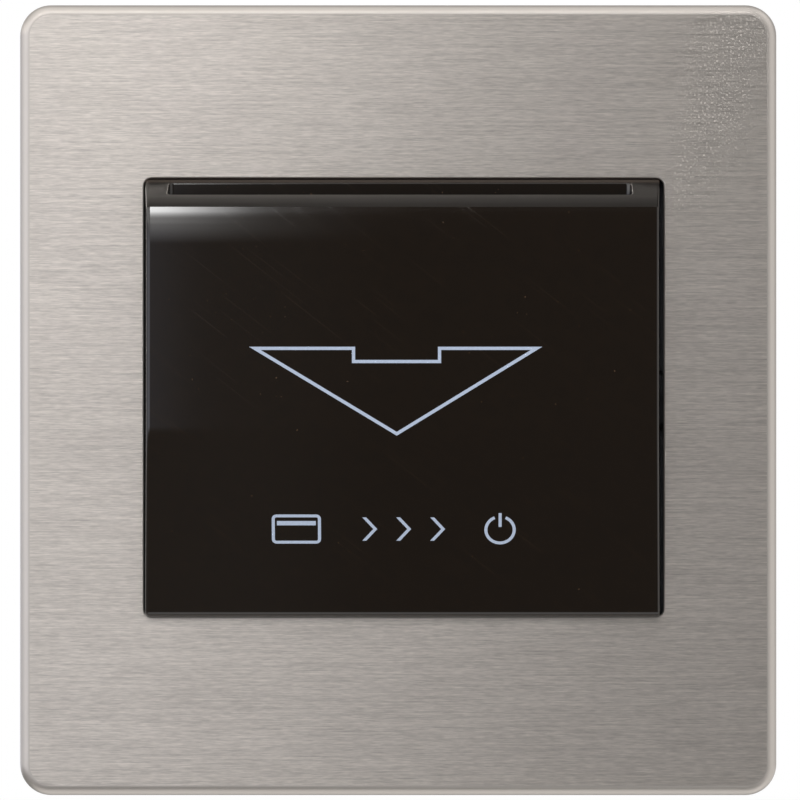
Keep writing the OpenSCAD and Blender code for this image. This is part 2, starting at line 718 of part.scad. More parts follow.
module switch_case() color([0.12, 0.12, 0.13]) difference() {
    union() {
        translate([0, case_y + case_d/2, 0]) difference() {
            along_z(case_base, case_top) round_rect(case_l, case_d, case_r);
            // Seam between the case and its lid
            translate([0, 0, case_z + case_seam_share*case_h]) along_z(0, case_seam_w) difference() {
                square([case_l + over, case_d + over], center = true);
                round_rect(case_l - 2*case_seam_depth, case_d - 2*case_seam_depth,
                           case_r - case_seam_depth);
            }
        }
        at_xz(button_x, case_z) rod_y(collar_r, case_y - collar_h, case_y + over);
    }
    switch_screw_places() rod_z(case_hole_r, case_base - over, case_top + over);
    at_xz(button_x, case_z)
        rod_y(button_r + button_play, case_y - collar_h - over,
              case_y + button_tail + button_travel + button_room);
}

module switch_button() color([0.75, 0.15, 0.12]) at_xz(button_x, case_z) {
    translate([0, pivot_y + button_rest, 0]) sphere(button_r);
    rod_y(button_r, pivot_y + button_rest, case_y + button_tail);
}

module switch_tabs() color([0.85, 0.68, 0.35]) for (k = [-1:1]) at_xz(k*terminal_pitch, case_z)
    span(-tab_w/2, tab_w/2, case_y + case_d, case_y + case_d + tab_l, -tab_t/2, tab_t/2);

module switch_screws() color([0.75, 0.75, 0.76]) switch_screw_places() difference() {
    union() {
        rod_z(switch_head_r, case_top, case_top + switch_head_h);
        rod_z(switch_screw_r, case_top - switch_screw_l, case_top + switch_head_h/2);
    }
    span(-switch_head_r - over, switch_head_r + over, -recess_w/2, recess_w/2,
         case_top + switch_head_h/2, case_top + switch_head_h + over);
}

// Strap k: it lies under a tab, runs down and lies on a terminal
module strap(k) color([0.8, 0.5, 0.3]) at_xz(k*terminal_pitch, 0) {
    top = case_z - tab_t/2;
    base = terminal_z + terminal_h;
    along_x(-strap_w/2, strap_w/2) polygon(rounded(
        [[strap_y, top], [strap_y + strap_foot, top], [strap_y + strap_foot, top - strap_t],
         [strap_y + strap_t, top - strap_t], [strap_y + strap_t, base + strap_t],
         [strap_y + strap_foot, base + strap_t], [strap_y + strap_foot, base], [strap_y, base]],
        [strap_r, 0, 0, 0, 0, 0, 0, strap_r]));
}

module strap_common() strap(-1);
module strap_open() strap(0);
module strap_closed() strap(1);

// Terminal k: a brass block with a wire hole along Y and a clamping screw from below
module terminal(k) color([0.83, 0.7, 0.4]) at_xz(k*terminal_pitch, 0) {
    end_y = housing_depth - terminal_end;
    difference() {
        span(-terminal_w/2, terminal_w/2, terminal_y, end_y, terminal_z, terminal_z + terminal_h);
        at_xz(0, wire_z) rod_y(wire_hole_r, terminal_y - over, end_y + over);
        translate([0, (terminal_y + end_y)/2, 0])
            rod_z(clamp_r + screw_play, terminal_z - over, wire_z);
    }
}

module terminal_common() terminal(-1);
module terminal_open() terminal(0);
module terminal_closed() terminal(1);

module terminal_screws() color([0.75, 0.75, 0.76]) for (k = [-1:1])
    translate([k*terminal_pitch, (terminal_y + housing_depth - terminal_end)/2, 0]) difference() {
        base = -housing_h/2 + clamp_head_in;
        union() {
            rod_z(clamp_head_r, base, floor_z);
            rod_z(clamp_r, floor_z - over, wire_z - wire_hole_r + clamp_reach);
        }
        span(-clamp_head_r - over, clamp_head_r + over, -recess_w/2, recess_w/2,
             base - over, base + housing_wall/3);
    }

face_plate();
plate_frame();
mounting_yoke();
wall_screws();
front_cover();
card_guide();
guide_screws();
mechanism_housing();
rear_cover();
rear_cover_screws();
card_lever();
lever_pin();
lever_spring();
switch_case();
switch_button();
switch_tabs();
switch_screws();
strap_common();
strap_open();
strap_closed();
terminal_common();
terminal_open();
terminal_closed();
terminal_screws();
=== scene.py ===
import math

import bmesh
import bpy
from mathutils import Matrix, Vector


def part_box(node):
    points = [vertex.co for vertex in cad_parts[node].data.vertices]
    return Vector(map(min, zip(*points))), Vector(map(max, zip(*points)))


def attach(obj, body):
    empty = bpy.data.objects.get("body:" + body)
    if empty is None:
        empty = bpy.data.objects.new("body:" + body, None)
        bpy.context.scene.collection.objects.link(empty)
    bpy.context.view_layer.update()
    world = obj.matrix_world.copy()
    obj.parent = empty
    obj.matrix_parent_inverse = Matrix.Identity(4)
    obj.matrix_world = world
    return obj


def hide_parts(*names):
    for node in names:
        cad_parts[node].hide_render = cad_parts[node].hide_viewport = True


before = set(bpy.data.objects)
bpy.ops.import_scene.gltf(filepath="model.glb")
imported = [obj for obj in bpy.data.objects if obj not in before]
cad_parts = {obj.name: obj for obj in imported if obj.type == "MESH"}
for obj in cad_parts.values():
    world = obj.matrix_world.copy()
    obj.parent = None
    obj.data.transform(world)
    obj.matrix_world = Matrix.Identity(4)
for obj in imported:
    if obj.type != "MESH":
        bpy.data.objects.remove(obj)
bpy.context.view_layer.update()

# Steel face
# The wall plate is a sheet of stainless steel pressed into a shallow tray with a rolled edge. It is
# brushed from side to side, has a window for the black front, and snaps over the moulded frame.
mm = 0.001
plate_low, plate_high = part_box("face_plate")
cover_low, cover_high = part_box("front_cover")
plate_r = 3.7 * mm
edge_r = 1.2 * mm
sheet_t = 0.8 * mm
window_r = 1.1 * mm
rim_r = 0.2 * mm
window_low = Vector((cover_low.x - 0.51 * mm, 0, cover_low.z - 0.23 * mm))
window_high = Vector((cover_high.x + 1.12 * mm, 0, cover_high.z + 0.46 * mm))
tiny = 0.01 * mm


def block(name, low, high):
    """A box from one corner to the other, which is the start of a piece."""
    low, high = Vector(low), Vector(high)
    bpy.ops.object.select_all(action="DESELECT")
    bpy.ops.mesh.primitive_cube_add(size=1, location=(low + high) / 2, scale=high - low)
    piece = bpy.context.object
    piece.name = name
    bpy.ops.object.transform_apply(location=True, rotation=False, scale=True)
    return piece


def only(piece):
    """Selects this piece alone."""
    bpy.ops.object.select_all(action="DESELECT")
    piece.select_set(True)
    bpy.context.view_layer.objects.active = piece


def pick_edges(piece, test):
    """In edit mode, selects the edges whose two ends pass the test."""
    bpy.ops.mesh.select_mode(type="EDGE")
    bpy.ops.mesh.select_all(action="DESELECT")
    mesh = bmesh.from_edit_mesh(piece.data)
    for edge in mesh.edges:
        if test(edge.verts[0].co, edge.verts[1].co):
            edge.select_set(True)
    bmesh.update_edit_mesh(piece.data)


def pick_faces(piece, test):
    """In edit mode, selects the faces whose middle and normal pass the test."""
    bpy.ops.mesh.select_mode(type="FACE")
    bpy.ops.mesh.select_all(action="DESELECT")
    mesh = bmesh.from_edit_mesh(piece.data)
    for face in mesh.faces:
        if test(face.calc_center_median(), face.normal):
            face.select_set(True)
    bmesh.update_edit_mesh(piece.data)


def round_off(radius, segments, clamp=True):
    """Rounds the selected edges."""
    bpy.ops.mesh.bevel(offset=radius, segments=segments, affect="EDGES", clamp_overlap=clamp)


def along_y(a, b):
    """Whether an edge runs from the front to the back."""
    return abs(a.x - b.x) < tiny and abs(a.z - b.z) < tiny


def apply_modifier(piece, kind, **settings):
    """Adds a modifier with these settings and applies it."""
    only(piece)
    modifier = piece.modifiers.new(kind.lower(), kind)
    for name, value in settings.items():
        setattr(modifier, name, value)
    bpy.ops.object.modifier_apply(modifier=modifier.name)


def cut(piece, cutter):
    """Takes the cutter's shape away from the piece."""
    apply_modifier(piece, "BOOLEAN", operation="DIFFERENCE", solver="EXACT", object=cutter)
    bpy.data.objects.remove(cutter)


def smooth(piece, angle=math.radians(32)):
    """Shades the rounded stretches smooth and keeps the flat faces flat."""
    only(piece)
    bpy.ops.object.shade_smooth_by_angle(angle=angle)
    apply_modifier(piece, "WEIGHTED_NORMAL", weight=80, keep_sharp=True)


steel_face = block("steel_face", plate_low, plate_high)
bpy.ops.object.mode_set(mode="EDIT")
pick_edges(steel_face, along_y)
round_off(plate_r, 14)
pick_faces(steel_face, lambda middle, normal: normal.y > 0.9)
bpy.ops.mesh.delete(type="FACE")
pick_edges(steel_face, lambda a, b: max(a.y, b.y) < plate_low.y + tiny)
round_off(edge_r, 12)
bpy.ops.object.mode_set(mode="OBJECT")
apply_modifier(steel_face, "SOLIDIFY", thickness=sheet_t, offset=-1, use_even_offset=True)

hole_low = window_low + Vector((rim_r, plate_low.y - sheet_t, rim_r))
hole_high = window_high + Vector((-rim_r, plate_low.y + 2 * sheet_t, -rim_r))
hole = block("hole", hole_low, hole_high)
bpy.ops.object.mode_set(mode="EDIT")
pick_edges(hole, along_y)
round_off(window_r - rim_r, 10)
bpy.ops.object.mode_set(mode="OBJECT")
cut(steel_face, hole)


def on_rim(a, b):
    """Whether an edge of the window lies in the plate's front."""
    inside = all(window_low.x < end.x < window_high.x and window_low.z < end.z < window_high.z
                 for end in (a, b))
    return inside and max(a.y, b.y) < plate_low.y + tiny


bpy.ops.object.mode_set(mode="EDIT")
pick_edges(steel_face, on_rim)
round_off(rim_r, 6)
bpy.ops.object.mode_set(mode="OBJECT")
smooth(steel_face)


class Value:
    """What shader nodes work out. Sums on numbers are written as in Python."""

    def __init__(self, nodes, socket):
        self.nodes = nodes
        self.socket = socket

    def __add__(self, other):
        return self.nodes.math("ADD", self, other)

    def __radd__(self, other):
        return self.nodes.math("ADD", other, self)

    def __sub__(self, other):
        return self.nodes.math("SUBTRACT", self, other)

    def __rsub__(self, other):
        return self.nodes.math("SUBTRACT", other, self)

    def __mul__(self, other):
        return self.nodes.math("MULTIPLY", self, other)


class Nodes:
    """The nodes of a material or of the world."""

    def __init__(self, tree):
        self.tree = tree

    def node(self, kind, settings=None, inputs=None, output=0):
        """Adds a node with its settings and its sockets' values or links, and gives one output."""
        made = self.tree.nodes.new(kind)
        for name, value in (settings or {}).items():
            setattr(made, name, value)
        for name, value in (inputs or {}).items():
            self.put(made.inputs[name], value)
        return Value(self, made.outputs[output])

    def put(self, socket, value):
        """Links what nodes work out to a socket, or sets the socket to a constant."""
        if isinstance(value, Value):
            self.tree.links.new(value.socket, socket)
        else:
            socket.default_value = value

    def math(self, operation, *terms):
        """One sum on numbers."""
        return self.node("ShaderNodeMath", {"operation": operation}, dict(enumerate(terms)))

    def step(self, value, low, high, start=0.0, end=1.0):
        """Runs smoothly from start to end as the value goes from low to high."""
        return self.node("ShaderNodeMapRange", {"interpolation_type": "SMOOTHSTEP"},
                         {"Value": value, "From Min": low, "From Max": high,
                          "To Min": start, "To Max": end})

    def axes(self, vector):
        """The X, Y and Z of a vector."""
        return (self.node("ShaderNodeSeparateXYZ", {}, {0: vector}, output=i) for i in range(3))

    def mix(self, a, b, share):
        """Colour a where share is 0 and colour b where it is 1."""
        return self.node("ShaderNodeMix", {"data_type": "RGBA"}, {0: share, 6: a, 7: b}, output=2)

    def shade(self, colour, amount):
        """The colour made lighter or darker by a varying amount."""
        grey = self.node("ShaderNodeCombineColor", {}, {0: amount, 1: amount, 2: amount})
        return self.node("ShaderNodeMix", {"data_type": "RGBA", "blend_type": "MULTIPLY"},
                         {0: 1.0, 6: colour, 7: grey}, output=2)


def tone(red, green, blue):
    """The colour that shows as these 8-bit levels on a screen."""
    return tuple((level / 255 / 12.92) if level < 11 else ((level / 255 + 0.055) / 1.055) ** 2.4
                 for level in (red, green, blue)) + (1.0,)


class Finish(Nodes):
    """A material on one Principled shader, whose constants are set on its own sockets."""

    def __init__(self, name, **constants):
        self.material = bpy.data.materials.new(name)
        self.material.use_nodes = True
        super().__init__(self.material.node_tree)
        self.shader = self.tree.nodes["Principled BSDF"]
        self.place = self.node("ShaderNodeTexCoord", output="Object")
        for name, value in constants.items():
            self.shader.inputs[name.replace("_", " ")].default_value = value

    def noise(self, size, detail=2.0, roughness=0.5, turn=0.0):
        """Cloudy noise whose spots have this size along X, Y and Z, turned about Y by an angle."""
        turned = self.node("ShaderNodeVectorRotate", {"rotation_type": "Y_AXIS"},
                           {"Vector": self.place, "Angle": turn})
        scaled = self.node("ShaderNodeVectorMath", {"operation": "MULTIPLY"},
                           {0: turned, 1: tuple(1 / s for s in size)})
        return self.node("ShaderNodeTexNoise", {}, {"Vector": scaled, "Scale": 1.0,
                                                    "Detail": detail, "Roughness": roughness})

    def vary(self, **links):
        """Links what changes over the surface to the shader."""
        for name, value in links.items():
            self.put(self.shader.inputs[name.replace("_", " ")], value)

    def relief(self, height, depth):
        """Bumps as high as this height times depth."""
        self.vary(Normal=self.node("ShaderNodeBump", {}, {"Strength": 1.0, "Distance": depth,
                                                          "Height": height}))


steel_colour = (0.580, 0.534, 0.490, 1.0)
brushed = Finish("brushed_steel", Metallic=0.88, Anisotropic=0.88, Anisotropic_Rotation=0.25)
short_streaks = brushed.noise((1.2 * mm, mm, 0.11 * mm))
long_streaks = brushed.noise((9 * mm, mm, 0.16 * mm), detail=3.0, roughness=0.6)
clouds = brushed.noise((30 * mm, mm, 7 * mm))
hairs = brushed.step(brushed.noise((16 * mm, mm, 0.22 * mm), detail=1.0), 0.68, 0.76)
grain = ((short_streaks - 0.5) * 0.7 + (long_streaks - 0.5) * 0.588 + (clouds - 0.5) * 0.112
         - hairs * 0.112)
brushed.vary(Base_Color=brushed.shade(steel_colour, grain + 1.0),
             Roughness=(long_streaks - 0.5) * 0.03 + 0.295)
brushed.relief(short_streaks + long_streaks, 0.5e-6)

rolled = Finish("rolled_steel", Metallic=0.75)
scuffs = rolled.noise((0.5 * mm,) * 3, detail=4.0)
rolled.vary(Base_Color=rolled.shade(steel_colour, (scuffs - 0.5) * 0.08 + 0.88),
            Roughness=(scuffs - 0.5) * 0.2 + 0.42)

steel_face.data.materials.append(rolled.material)
steel_face.data.materials.append(brushed.material)
for face in steel_face.data.polygons:
    if face.normal.y < -0.999 and face.center.y < plate_low.y + tiny:
        face.material_index = 1
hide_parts("face_plate")
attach(steel_face, "switch_body")

# Black front
# The front is a moulded shell of glossy black plastic. Its slotted top face falls away from the
# wall, its front leans back to a bend and slants in to the foot, and catches hold it on the housing.
top_out = 10.2 * mm
bend_out = 9.2 * mm
foot_out = 1.4 * mm
bend_z = -5 * mm
top_fall = 3.38 * mm
foot_rise = 0.32 * mm
shell_t = 1.6 * mm
lip_rise = 0.25 * mm
lip_fall = 0.1 * mm
left_r = 0.45 * mm
right_r = 0.27 * mm
foot_r = 0.42 * mm
lower_lip_r = 0.14 * mm
brow_r = 0.16 * mm
brow_half_turn = math.radians(31)
brow_reach = 0.57 * mm
bend_r = 12 * mm
bend_half_turn = math.radians(9.6)
front_y = plate_low.y
brow = Vector((0, front_y - top_out, cover_high.z - top_fall))
bend = Vector((0, front_y - bend_out, bend_z))
foot = Vector((0, front_y - foot_out, cover_low.z - lip_fall + foot_rise))
lower_lip = Vector((0, front_y, cover_low.z - lip_fall))
upper_lip = Vector((0, front_y, cover_high.z))


def slice_off(point, normal):
    """Cuts off what lies beyond a plane through the point and closes the cut."""
    bpy.ops.mesh.select_all(action="SELECT")
    bpy.ops.mesh.bisect(plane_co=point, plane_no=normal, use_fill=True, clear_outer=True,
                        threshold=tiny / 10)


def outward(a, b):
    """The outward normal of the face that runs down the front from a to b."""
    run = b - a
    return Vector((0, run.z, -run.y)).normalized()


def tilt(normal, angle):
    """The normal turned upwards by an angle."""
    return Vector((0, normal.y * math.cos(angle) + normal.z * math.sin(angle),
                   normal.z * math.cos(angle) - normal.y * math.sin(angle)))


def wedge(name, wall):
    """The front's wedge with flat faces, made smaller all round by a wall."""
    inset = Vector((wall, 0, wall))
    piece = block(name, Vector((side_left - mm, brow.y - mm, lower_lip.z)) + inset,
                  Vector((side_right + mm, cover_high.y, cover_high.z + lip_rise)) - inset)
    bpy.ops.object.mode_set(mode="EDIT")
    for point, normal in slopes + crown + sides:
        slice_off(point - normal * wall, normal)
    bpy.ops.object.mode_set(mode="OBJECT")
    return piece


top_normal = outward(upper_lip, brow)
face_normal = outward(brow, bend)
down = (bend - brow).normalized()
slopes = [(upper_lip, top_normal), (brow, face_normal), (bend, outward(bend, foot)),
          (foot, outward(foot, lower_lip))]
# The face is crowned just under its top edge, in three soft steps, each with its distance from the
# edge, its tilt in degrees and its blend
crown_steps = ((6.4 * mm, 2.2, 1.9 * mm), (3.3 * mm, 6.5, 1.2 * mm), (1.3 * mm, 13.5, 0.7 * mm))
crown = []
blends = []
set_back = 0
last_drop, last_tilt = 0, 0
for drop, degrees, blend in crown_steps:
    set_back += (last_drop - drop) * math.tan(last_tilt)
    last_drop, last_tilt = drop, math.radians(degrees)
    step_at = brow + down * drop + Vector((0, set_back, 0))
    crown.append((step_at, tilt(face_normal, last_tilt)))
    blends.append((step_at, blend))
# The top face bows down a little before it meets the crown
bow_back = 2.6 * mm
bow_tilt = math.radians(-8)
bow_blend = 1.3 * mm
bow_at = brow + (upper_lip - brow).normalized() * bow_back
crown.append((bow_at, tilt(top_normal, bow_tilt)))
blends.append((bow_at, bow_blend))
# The sides draw in a little towards the front, as the mould needs
draft = math.radians(3.4)
side_left = cover_low.x - 0.19 * mm
side_right = cover_high.x + 0.45 * mm
sides = [(Vector((side_left, front_y, 0)), Vector((-math.cos(draft), -math.sin(draft), 0))),
         (Vector((side_right, front_y, 0)), Vector((math.cos(draft), -math.sin(draft), 0)))]

cavity = wedge("cavity", shell_t)
cavity.data.transform(Matrix.Translation((0, mm, 0)))
front = wedge("black_front", 0)
bpy.ops.object.mode_set(mode="EDIT")


def across_at(point, reach=0.25 * mm):
    """Whether an edge runs across the front at the height and depth of a point."""
    return lambda a, b: (abs(a.x - b.x) > 10 * mm and (a - b).yz.length < tiny
                         and (a - point).yz.length < reach)


for point, blend in blends:
    pick_edges(front, across_at(point))
    round_off(blend, 5)
pick_edges(front, across_at(bend))
round_off(bend_r * math.tan(bend_half_turn), 9)
pick_edges(front, across_at(brow, brow_reach))
round_off(brow_r * math.tan(brow_half_turn), 5)
for corner, blend in ((foot, foot_r), (lower_lip, lower_lip_r)):
    pick_edges(front, across_at(corner))
    round_off(blend, 5)
bpy.ops.object.mode_set(mode="OBJECT")


def along_side(a, b):
    """Whether an edge bounds one of the two side faces."""
    on_side = any(abs((a - point).dot(normal)) < tiny and abs((b - point).dot(normal)) < tiny
                  for point, normal in sides)
    return on_side and min(a.y, b.y) < cover_high.y - tiny


bpy.ops.object.mode_set(mode="EDIT")
bpy.ops.mesh.select_all(action="SELECT")
bpy.ops.mesh.remove_doubles(threshold=tiny / 2)
for side, radius in ((-1, left_r), (1, right_r)):
    pick_edges(front, lambda a, b: along_side(a, b) and a.x * side > 0)
    round_off(radius, 8, clamp=False)
bpy.ops.object.mode_set(mode="OBJECT")
cut(front, cavity)

# The slot is a little wider than a card, with a lip rounded over by handling
slot_low = Vector((-27.14, -13.1, 20)) * mm
slot_high = Vector((27.56, -8.6, 30)) * mm
slot_r = 0.5 * mm
lip_r = 0.16 * mm
slot = block("slot", slot_low, slot_high)
bpy.ops.object.mode_set(mode="EDIT")
pick_edges(slot, lambda a, b: abs(a.z - b.z) > mm)
round_off(slot_r, 5)
bpy.ops.object.mode_set(mode="OBJECT")
cut(front, slot)


def on_lip(a, b):
    """Whether an edge of the slot lies in the top face."""
    return all(abs((end - upper_lip).dot(top_normal)) < tiny
               and slot_low.x - tiny < end.x < slot_high.x + tiny
               and slot_low.y - tiny < end.y < slot_high.y + tiny for end in (a, b))


bpy.ops.object.mode_set(mode="EDIT")
pick_edges(front, on_lip)
round_off(lip_r, 3)
bpy.ops.object.mode_set(mode="OBJECT")
smooth(front, math.radians(20))

gloss_colour = (0.0082, 0.0044, 0.0018, 1.0)
wipe = math.radians(-38)
gloss = Finish("gloss_black", IOR=1.5)
mottle = gloss.noise((1.5 * mm,) * 3, detail=3.0)
hairlines = gloss.step(gloss.noise((14 * mm, 14 * mm, 0.16 * mm), detail=1.0, turn=wipe), 0.68, 0.76)
flecks = gloss.step(gloss.noise((0.3 * mm,) * 3, detail=1.0), 0.78, 0.84)
gloss.vary(Base_Color=gloss.shade(gloss_colour, mottle * 0.4 + 0.8 + hairlines * 0.9 + flecks * 10),
           Roughness=hairlines * 0.06 + flecks * 0.2 + 0.05)
gloss.relief(gloss.noise((5 * mm,) * 3, detail=1.0), 0.5e-6)

satin_colour = (0.0062, 0.0050, 0.0042, 1.0)
# The satin is painted lighter in a strip at the back of the top face, where the plate's edge shades it:
# a painted light.
painted_light_depth = 1.4 * mm
satin = Finish("satin_black", IOR=1.12)
satin_grain = satin.noise((0.12 * mm,) * 3)
satin_y = satin.node("ShaderNodeSeparateXYZ", {}, {0: satin.place}, output=1)
painted_light_band = satin.step(satin_y, front_y - painted_light_depth, front_y)
satin.vary(Base_Color=satin.shade(satin_colour, satin_grain * 0.4 + 0.8 + painted_light_band * 14),
           Roughness=(satin_grain - 0.5) * 0.1 + 0.32)
satin.relief(satin_grain, 2e-6)

# The top face and the inside are satin, but the polished lip of the slot is as glossy as the rest
front.data.materials.append(gloss.material)
front.data.materials.append(satin.material)
for face in front.data.polygons:
    beside_slot = not slot_low.x - mm < face.center.x < slot_high.x + mm
    least = 0.5 if beside_slot else 0.97
    if face.normal.dot(top_normal) > least or face.normal.y > 0.3:
        face.material_index = 1
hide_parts("front_cover")
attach(front, "switch_body")

# Arrow
# The arrow that shows which way the card goes is an outline printed on the front in pale blue-grey
# ink. Its shaft is only a notch in the top line.
arrow_left = -17.47 * mm
arrow_right = 16.87 * mm
arrow_top = 6.26 * mm
tip_x = -0.17 * mm
tip_z = -4.16 * mm
notch_left = -5.04 * mm
notch_right = 4.65 * mm
notch_z = 4.72 * mm
line_w = 0.38 * mm
ink_t = 0.012 * mm
ink_colour = (0.46, 0.54, 0.69, 1.0)


def flat(x, z, width, height, rows=1):
    """A flat drawn strip, in the given number of rows, that faces the viewer."""
    bpy.ops.object.select_all(action="DESELECT")
    bpy.ops.mesh.primitive_grid_add(x_subdivisions=1, y_subdivisions=rows, size=1,
                                    rotation=(math.pi / 2, 0, 0), location=(x, 0, z))
    strip = bpy.context.object
    strip.scale = (width, height, 1)
    bpy.ops.object.transform_apply(location=True, rotation=True, scale=True)
    return strip


def hollow_out(width):
    """Keeps only a line of this width along the border of the selected face."""
    bpy.ops.mesh.inset(thickness=width, depth=0)
    bpy.ops.mesh.delete(type="FACE")


def print_on(piece, material, high, low):
    """Gives the drawing its thickness of ink and lays it on the face that runs from high to low."""
    apply_modifier(piece, "SOLIDIFY", thickness=ink_t, offset=0)
    slope = (low.y - high.y) / (high.z - low.z)
    piece.rotation_euler.x = math.atan(slope)
    piece.location.y = high.y + slope * high.z
    bpy.ops.object.transform_apply(location=True, rotation=True, scale=True)
    piece.data.materials.append(material)
    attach(piece, "switch_body")


arrow = flat((arrow_left + arrow_right) / 2, (arrow_top + tip_z) / 2,
             arrow_right - arrow_left, arrow_top - tip_z)
arrow.name = "arrow_print"
bpy.ops.object.mode_set(mode="EDIT")
for side, corner_x in ((-1, arrow_left), (1, arrow_right)):
    run = Vector((tip_x - corner_x, 0, tip_z - arrow_top))
    bpy.ops.mesh.select_all(action="SELECT")
    bpy.ops.mesh.bisect(plane_co=(corner_x, 0, arrow_top),
                        plane_no=(side * abs(run.z), 0, -abs(run.x)), clear_outer=True)
for place, direction in (((notch_left, 0, 0), (1, 0, 0)), ((notch_right, 0, 0), (1, 0, 0)),
                         ((0, 0, notch_z), (0, 0, 1))):
    bpy.ops.mesh.select_all(action="SELECT")
    bpy.ops.mesh.bisect(plane_co=place, plane_no=direction)
pick_faces(arrow, lambda middle, normal: (notch_left < middle.x < notch_right
                                          and middle.z > notch_z))
bpy.ops.mesh.delete(type="FACE")
bpy.ops.mesh.select_all(action="SELECT")
bpy.ops.mesh.dissolve_faces()
bpy.ops.mesh.select_all(action="SELECT")
hollow_out(line_w)
bpy.ops.object.mode_set(mode="OBJECT")
ink = Finish("pale_ink", Roughness=0.4)
ink_wear = ink.noise((0.2 * mm,) * 3, detail=3.0)
ink.vary(Base_Color=ink.shade(ink_colour, (ink_wear - 0.5) * 0.3 + 1.0))
print_on(arrow, ink.material, brow, bend)

# Signs
# A row of plain signs is printed below the arrow in the same ink: a card, three chevrons and the sign
# for power.
sign_z = -16.25 * mm
sign_h = 3.7 * mm
stroke = 0.36 * mm
card_x = -12 * mm
card_w = 5.8 * mm
card_r = 0.55 * mm
stripe_z = sign_z + 0.75 * mm
stripe_h = 0.55 * mm
stripe_gap = 0.25 * mm
chevron_step = 4 * mm
chevron_w = stroke * 1.3
chevron_h = sign_h * 0.8
chevron_point = 1.3 * mm
power_x = 12 * mm
power_z = sign_z - 0.1 * mm
power_r = sign_h / 2
power_gap = power_r * 0.38
bar_z = sign_z + power_r * 0.62
bar_h = power_r * 0.95

card = flat(card_x, sign_z, card_w, sign_h)
bpy.ops.object.mode_set(mode="EDIT")
bpy.ops.mesh.select_all(action="SELECT")
bpy.ops.mesh.bevel(offset=card_r, segments=5, affect="VERTICES")
bpy.ops.mesh.select_all(action="SELECT")
hollow_out(stroke)
bpy.ops.object.mode_set(mode="OBJECT")
stripe = flat(card_x, stripe_z, card_w - 2 * (stroke + stripe_gap), stripe_h)

chevrons = []
for x in (-chevron_step, 0, chevron_step):
    chevron = flat(x, sign_z, chevron_w, chevron_h, rows=2)
    bpy.ops.object.mode_set(mode="EDIT")
    pick_edges(chevron, lambda a, b: abs(a.z - sign_z) < tiny and abs(b.z - sign_z) < tiny)
    bpy.ops.transform.translate(value=(chevron_point, 0, 0))
    bpy.ops.object.mode_set(mode="OBJECT")
    chevrons.append(chevron)


def disc(place, radius, vertices):
    """A flat round face that faces the viewer."""
    bpy.ops.object.select_all(action="DESELECT")
    bpy.ops.mesh.primitive_circle_add(vertices=vertices, radius=radius, fill_type="NGON",
                                      rotation=(math.pi / 2, 0, 0), location=place)
    bpy.ops.object.transform_apply(location=True, rotation=True, scale=True)
    return bpy.context.object


power = disc((power_x, 0, power_z), power_r, 48)
bpy.ops.object.mode_set(mode="EDIT")
bpy.ops.mesh.select_all(action="SELECT")
hollow_out(stroke)
pick_faces(power, lambda middle, normal: (abs(middle.x - power_x) < power_gap
                                          and middle.z > sign_z))
bpy.ops.mesh.delete(type="FACE")
bpy.ops.object.mode_set(mode="OBJECT")
bar = flat(power_x, bar_z, stroke, bar_h)

only(card)
for piece in (stripe, power, bar, *chevrons):
    piece.select_set(True)
bpy.ops.object.join()
card.name = "signs_print"
print_on(card, ink.material, bend, foot)

# Moulded frame
# The frame that stiffens the steel face and clips to the yoke is moulded in dark plastic, with the
# fine spark-eroded texture of its tool.


def dress(finish, *names):
    """Gives CAD nodes this finish."""
    for name in names:
        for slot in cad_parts[name].material_slots:
            slot.material = finish.material


def moulded(name, colour, roughness, grain_size=0.25 * mm, depth=3e-6, **constants):
    """Plastic with a tool's texture, slight clouds of colour and small differences in gloss."""
    finish = Finish(name, **constants)
    texture = finish.noise((grain_size,) * 3, detail=3.0, roughness=0.6)
    flow = finish.noise((9 * mm, 9 * mm, 14 * mm), detail=2.0)
    finish.vary(Base_Color=finish.shade(colour, (flow - 0.5) * 0.12 + (texture - 0.5) * 0.06 + 1.0),
                Roughness=(texture - 0.5) * 0.16 + (flow - 0.5) * 0.1 + roughness)
    finish.relief(texture, depth)
    return finish


dress(moulded("frame_abs", tone(26, 26, 28), 0.6, Specular_IOR_Level=0.25), "plate_frame")

# Mounting yoke
# The yoke is stamped from steel sheet with a plated finish, made near-black as painted shade for the
# dark gap beside the front. The wall screws clamp it to the wall box, and the housing hangs in it.


def plated(name, colour, roughness, spangle=1.2 * mm, **constants):
    """Plated metal with a faint mottle, dull spots and fine handling marks."""
    finish = Finish(name, Metallic=1.0, **constants)
    mottled = finish.noise((spangle,) * 3, detail=3.0, roughness=0.55)
    fine = finish.noise((0.08 * mm,) * 3, detail=2.0)
    dull = finish.step(finish.noise((3 * mm,) * 3, detail=4.0), 0.56, 0.72)
    marks = (mottled - 0.5) * 0.22 + (fine - 0.5) * 0.08 - dull * 0.1
    finish.vary(Base_Color=finish.shade(colour, marks + 1.0),
                Roughness=(mottled - 0.5) * 0.16 + dull * 0.14 + roughness)
    finish.relief(fine, 1e-6)
    return finish


dress(plated("dark_zinc_painted_shade", (0.07, 0.07, 0.075, 1.0), 0.42), "mounting_yoke")

